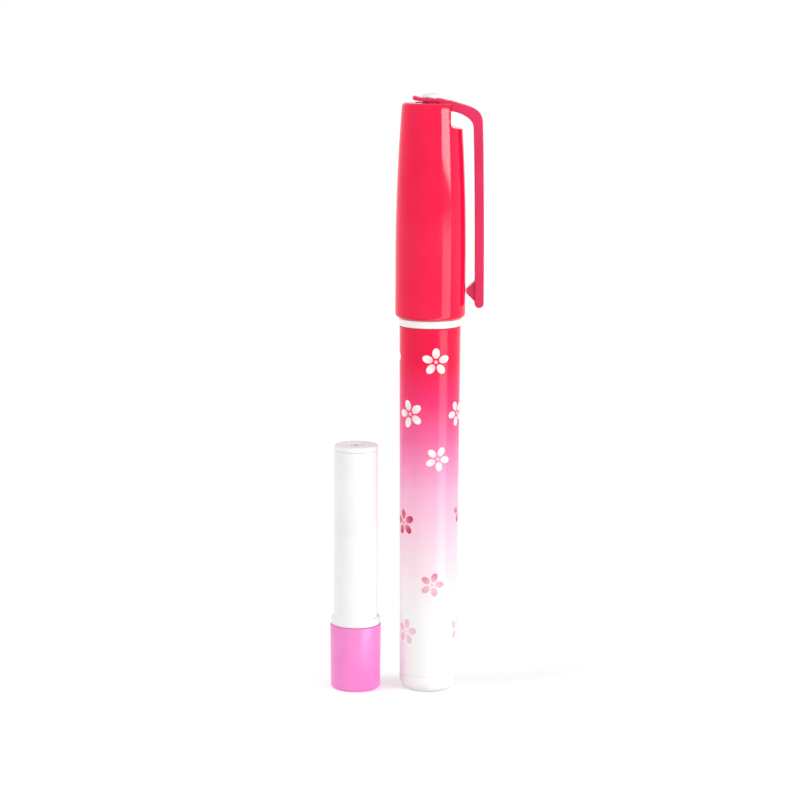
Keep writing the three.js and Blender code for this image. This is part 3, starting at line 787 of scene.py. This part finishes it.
# The wedge is narrower than the leg; its root is sunk in the leg, and its edge faces the cap.
wedge = capBase + v["wedgeMiddle"]
wedgeX = capValues["radius"] + v["wedgeGap"]
wedgeRoot = legOuter(wedge) - v["legThickness"] / 2
growth = (wedgeRoot - wedgeX) / (wedgeRoot - v["legThickness"] / 2 - wedgeX)
rootHeight = v["wedgeTip"] + (v["wedgeHeight"] - v["wedgeTip"]) * growth
wedgeLow = (wedgeX, -v["wedgeWidth"] / 2, wedge - rootHeight / 2)
wedgeHigh = (wedgeRoot, v["wedgeWidth"] / 2, wedge + rootHeight / 2)
wedgeBlock = block(wedgeLow, wedgeHigh)
bpy.ops.object.mode_set(mode="EDIT")
pickVerts(lambda point: point.x < wedgeX + near)
squeeze = v["wedgeTip"] / rootHeight
bpy.ops.transform.resize(value=(1, 1, squeeze), center_override=(wedgeX * mm, 0, wedge * mm))
finishMesh(wedgeBlock, angle=40)
roundSharp(wedgeBlock, v["wedgeEdge"], segments=3, angle=30, clamp=True)
combine(pocketClip, wedgeBlock, "UNION")

# The boss under the leaf, which the stud passes through, stands in the slot.
boss = rod(v["bossSides"], v["bossRadius"], tongueBase, tongueTop(0) - v["edge"])
combine(pocketClip, boss, "UNION")
finishMesh(pocketClip, angle=40)
evenShading(pocketClip)
pocketClip.data.materials.append(clipCrimson)
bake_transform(pocketClip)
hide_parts("clip_tongue", "pocket_clip")
print("clip made")


# Top stud: the white button that rivets the tongue

studValues = {"headRadius": 2.1, "shaftRadius": 1.4, "rim": 0.35, "domeSteps": 5, "domeFlat": 0.6}
v = studValues
studBase, studTop = heights("top_stud")
headBase = tongueTop(-v["headRadius"]) + faceGap
dome = []
for i in range(v["domeSteps"] + 1):
    turn = math.pi / 2 * i / (v["domeSteps"] + v["domeFlat"])
    share = v["rim"] + (1 - v["rim"]) * math.sin(turn)
    dome.append([headBase + (studTop - headBase) * share, v["headRadius"] * math.cos(turn)])
topStud = turnPiece(
    "topStud",
    [[studBase, v["shaftRadius"]], [headBase, v["shaftRadius"]], [headBase, v["headRadius"]]] + dome,
    segments=64,
)
dress(topStud, white, "cap", "top_stud")
print("stud made")


# Cartridges: the same moulding nozzle up in the pen, and nozzle down as the spare

cartridgeValues = {
    "tubeRadius": 5.1, "boreRadius": 3.8, "flangeRadius": 5.7, "flangeThickness": 1.75, "flangeEdge": 0.3,
    "nozzleRadius": 4.6, "nozzleLength": 13, "beadRise": 0.15, "beadHeight": 0.9, "tubeLength": 39.2,
    "tailEdge": 0.15, "knobDepth": 3.7, "wall": 1, "lip": 0.35, "seamCover": 0.06,
}
glueValues = {"radius": 3.5, "tipEdge": 0.7, "footRadius": 3.0, "footHeight": 5.1}


def makeTube(name, axisX, seat, way):  # seat is the flange's rear face, and way is 1 nozzle up, -1 down
    c = cartridgeValues
    bead = c["flangeThickness"] + 2 * c["beadHeight"]
    tip = c["flangeThickness"] + c["nozzleLength"]
    tail = -c["tubeLength"] - c["seamCover"]
    profile = [
        [c["knobDepth"] + c["wall"] - c["tubeLength"], c["boreRadius"]],
        [tip, c["boreRadius"]],
        [tip, c["nozzleRadius"]],
        [bead + c["beadHeight"], c["nozzleRadius"]],
        [bead, c["nozzleRadius"] + c["beadRise"]],
        [bead - c["beadHeight"], c["nozzleRadius"]],
        [c["flangeThickness"], c["nozzleRadius"]],
        [c["flangeThickness"], c["flangeRadius"]],
        [0, c["flangeRadius"]],
        [0, c["tubeRadius"]],
        [tail, c["tubeRadius"]],
        [tail, c["boreRadius"]],
        [c["knobDepth"] - c["tubeLength"], c["boreRadius"]],
    ]
    rounds = [
        [0, c["flangeRadius"], c["flangeEdge"]],
        [c["flangeThickness"], c["flangeRadius"], c["flangeEdge"]],
        [tip, c["nozzleRadius"], c["lip"]],
        [tail, c["tubeRadius"], c["tailEdge"]],
    ]
    return turnPiece(
        name,
        [[seat + way * height, radius] for height, radius in profile],
        rounds=[[seat + way * height, radius, size] for height, radius, size in rounds],
        axisX=axisX,
    )


def makeGlue(name, node, axisX, way):
    c = glueValues
    low, high = heights(node)
    tip, foot = (high, low) if way > 0 else (low, high)
    step = foot + way * c["footHeight"]
    return turnPiece(
        name,
        [[foot, c["footRadius"]], [step, c["footRadius"]], [step, c["radius"]], [tip, c["radius"]]],
        rounds=[[tip, c["radius"], c["tipEdge"]]],
        axisX=axisX,
        segments=72,
    )


flangeSeat = neckTop + faceGap
nozzleTube = makeTube("nozzleTube", 0, flangeSeat, 1)
dress(nozzleTube, satinWhite, "front_section", "cartridge_tube")
glueStick = makeGlue("glueStick", "glue_stick", 0, 1)
dress(glueStick, glue, "glue", "glue_stick")

refillX = middleX("refill_tube")
refillSeat = heights("refill_tube")[1] - cartridgeValues["tubeLength"]
refillTube = makeTube("refillTube", refillX, refillSeat, -1)
dress(refillTube, satinWhite, "refill_tube", "refill_tube")
refillGlueStick = makeGlue("refillGlueStick", "refill_glue_stick", refillX, -1)
dress(refillGlueStick, glue, "refill_glue", "refill_glue_stick")
print("cartridges made")


# The spare's drive knob, with its hexagon sockets, and its cap

knobValues = {
    "radius": 5.1, "spigotRadius": 3.65, "thickness": 1.2, "edge": 0.35, "seamEdge": 0.1, "socket": 2.1,
    "socketDepth": 2.6, "pegSocket": 1.6, "pegDepth": 1.4, "socketSides": 6, "cutPast": 1,
    "cutEdge": 0.1,
}
v = knobValues
knobLow, knobHigh = heights("refill_drive_knob")
refillKnob = turnPiece(
    "refillKnob",
    [
        [knobHigh, v["radius"]],
        [knobHigh - v["thickness"], v["radius"]],
        [knobHigh - v["thickness"], v["spigotRadius"]],
        [knobLow, v["spigotRadius"]],
    ],
    rounds=[[knobHigh, v["radius"], v["edge"]], [knobHigh - v["thickness"], v["radius"], v["seamEdge"]]],
    axisX=refillX,
)
for radius, low, high in (
    (v["socket"], knobHigh - v["socketDepth"], knobHigh + v["cutPast"]),
    (v["pegSocket"], knobLow - v["cutPast"], knobLow + v["pegDepth"]),
):
    combine(refillKnob, rod(v["socketSides"], radius, low, high, refillX))
finishMesh(refillKnob)
roundSharp(refillKnob, v["cutEdge"], segments=2, angle=40)
finishMesh(refillKnob)
evenShading(refillKnob)
dress(refillKnob, satinWhite, "refill_drive", "refill_drive_knob")

refillCapValues = {
    "rimRadius": 5.95, "endRadius": 5.76, "edge": 0.8, "rimEdge": 0.2, "mouthRadius": 4.9, "mouthDepth": 4.5,
    "mouthStep": 0.2, "boreRadius": 4.75, "endWall": 1, "seamCover": 0.05,
}
v = refillCapValues
capEnd, rim = heights("refill_cap")
rim += v["seamCover"]
refillCap = turnPiece(
    "refillCap",
    [
        [capEnd, v["endRadius"]],
        [rim, v["rimRadius"]],
        [rim, v["mouthRadius"]],
        [rim - v["mouthDepth"], v["mouthRadius"]],
        [rim - v["mouthDepth"] - v["mouthStep"], v["boreRadius"]],
        [capEnd + v["endWall"], v["boreRadius"]],
    ],
    rounds=[[capEnd, v["endRadius"], v["edge"]], [rim, v["rimRadius"], v["rimEdge"]]],
    axisX=refillX,
)
dress(refillCap, refillPink, "refill_cap", "refill_cap")
print("refill knob and cap made")


# The pieces inside keep their CAD solids, in moulded plastic

for node in (
    "drive_stem", "drive_knob", "feed_screw", "glue_carrier", "refill_feed_screw", "refill_glue_carrier",
):
    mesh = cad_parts[node].data
    mesh.materials.clear()
    mesh.materials.append(innerWhite)
print("pieces inside coloured")


# Floor, world, lamps and camera

def lightPathFlags(wire):  # 1 on rays that should see the plain background
    path = wire.tree.nodes.new("ShaderNodeLightPath")
    flags = ("Is Camera Ray", "Is Glossy Ray", "Is Transmission Ray")
    seen = [Wire(wire.tree, path.outputs[name]) for name in flags]
    return wire.math("MAXIMUM", wire.math("MAXIMUM", seen[0], seen[1]), seen[2])


def studioMaterial(piece):  # an empty material on the piece: its wire, and the socket for its shader
    material, shader, wire = newMaterial(piece.name, {})
    material.node_tree.nodes.remove(shader)
    piece.data.materials.append(material)
    return wire, material.node_tree.nodes["Material Output"].inputs["Surface"]


studioValues = {  # metres, degrees and watts
    "worldLight": 0.57, "floorShade": 0.86, "floorLift": 0.38, "floorSize": 40.0, "floorDrop": 0.00002,
    "farFrom": 0.15, "farTo": 1.4, "keyTurn": 53.5, "keyDistance": 2.0, "keySize": (1.14, 0.43),
    "keyHeight": 0.33, "keyRoll": -5.5, "keyPower": 25.5, "fillTurn": -70, "fillDistance": 1.8,
    "fillSize": (1.0, 1.4), "fillHeight": 1.2, "fillRoll": 0, "fillPower": 20.5, "sheetRise": 0.001,
    "sheetNear": 0.033, "sheetNearFrom": -6, "sheetNearTo": 62, "sheetFar": 1.5, "sheetFarFrom": 39,
    "sheetFarTo": 69, "sheetGlow": 6,
}
v = studioValues
pureWhite = (1, 1, 1, 1)

startFresh()
bpy.ops.mesh.primitive_plane_add(size=v["floorSize"], location=(0, 0, -v["floorDrop"]))
studioFloor = bpy.context.object
studioFloor.name = "studioFloor"
wire, floorSurface = studioMaterial(studioFloor)
pale = (v["floorShade"], v["floorShade"], v["floorShade"], 1)
matte = wire.add("ShaderNodeBsdfDiffuse", {}, {"Color": pale})
reach = wire.add("ShaderNodeVectorMath", {"operation": "LENGTH"}, {0: objectPoint(wire)}, out=1)
farLift = 1 - v["worldLight"] * v["floorShade"] - v["floorLift"]
glow = lightPathFlags(wire) * (v["floorLift"] + reach.ease(v["farFrom"], v["farTo"]) * farLift)
lift = wire.add("ShaderNodeEmission", {}, {"Color": pureWhite, "Strength": glow})
wire.plug(floorSurface, wire.add("ShaderNodeAddShader", {}, {0: matte, 1: lift}))

world = bpy.data.worlds.new("studio")
world.use_nodes = True
bpy.context.scene.world = world
wire = Wire(world.node_tree)
background = world.node_tree.nodes["Background"]
background.inputs["Color"].default_value = pureWhite
wire.plug(background.inputs["Strength"], v["worldLight"] + lightPathFlags(wire) * (1 - v["worldLight"]))


def aimAlong(piece, way, roll):  # points a lamp or a camera along way, then rolls it
    aim = way.to_track_quat("-Z", "Y").to_matrix()
    piece.rotation_euler = (aim @ Matrix.Rotation(math.radians(roll), 3, "Z")).to_euler()


def softbox(name):  # each lamp's values are the studio values that start with its name
    turn, distance, size, height, roll, power = [
        studioValues[name + value] for value in ("Turn", "Distance", "Size", "Height", "Roll", "Power")
    ]
    angle = math.radians(turn)
    startFresh()
    place = Vector((math.sin(angle) * distance, -math.cos(angle) * distance, height))
    bpy.ops.object.light_add(type="AREA", location=place)
    lamp = bpy.context.object
    lamp.name = name + "Light"
    lamp.data.shape = "RECTANGLE"
    lamp.data.size, lamp.data.size_y = size
    lamp.data.energy = power
    aimAlong(lamp, Vector((-place.x, -place.y, 0)), roll)
    lamp.visible_camera = False
    return lamp


softbox("key")
fillLight = softbox("fill")
fillLight.visible_glossy = False

# A bright sheet on the floor, under the key lamp, that only the gloss shows. Its near and far
# ends are given by their distance and by the turns of their two corners.
startFresh()
bpy.ops.mesh.primitive_plane_add(size=1, location=(0, 0, v["sheetRise"]))
brightSheet = bpy.context.object
brightSheet.name = "brightSheet"
for vert in brightSheet.data.vertices:
    end = "sheetFar" if vert.co.y < 0 else "sheetNear"
    turn = math.radians(v[end + ("To" if vert.co.x > 0 else "From")])
    vert.co = (math.sin(turn) * v[end], -math.cos(turn) * v[end], 0)
brightSheet.visible_camera = False
brightSheet.visible_diffuse = False
brightSheet.visible_shadow = False
wire, sheetSurface = studioMaterial(brightSheet)
glow = wire.add("ShaderNodeEmission", {}, {"Color": pureWhite, "Strength": v["sheetGlow"]})
wire.plug(sheetSurface, glow)

cameraValues = {  # millimetres and degrees; the focal length is in pixels of an 800 pixel picture
    "x": -6.78, "distance": 582, "height": 166, "pitch": 9.568, "roll": 0.29, "focal": 2572, "pixels": 800,
    "sensor": 36,
}
v = cameraValues
pitch = math.radians(v["pitch"])
bpy.ops.object.camera_add(location=Vector((v["x"], -v["distance"], v["height"])) * mm)
camera = bpy.context.object
camera.name = "photoCamera"
camera.data.sensor_width = v["sensor"]
camera.data.lens = v["sensor"] * v["focal"] / v["pixels"]
aimAlong(camera, Vector((0, math.cos(pitch), -math.sin(pitch))), v["roll"])
bpy.context.scene.camera = camera
bpy.context.scene.view_settings.view_transform = "Standard"
print("studio made")

objectMode()
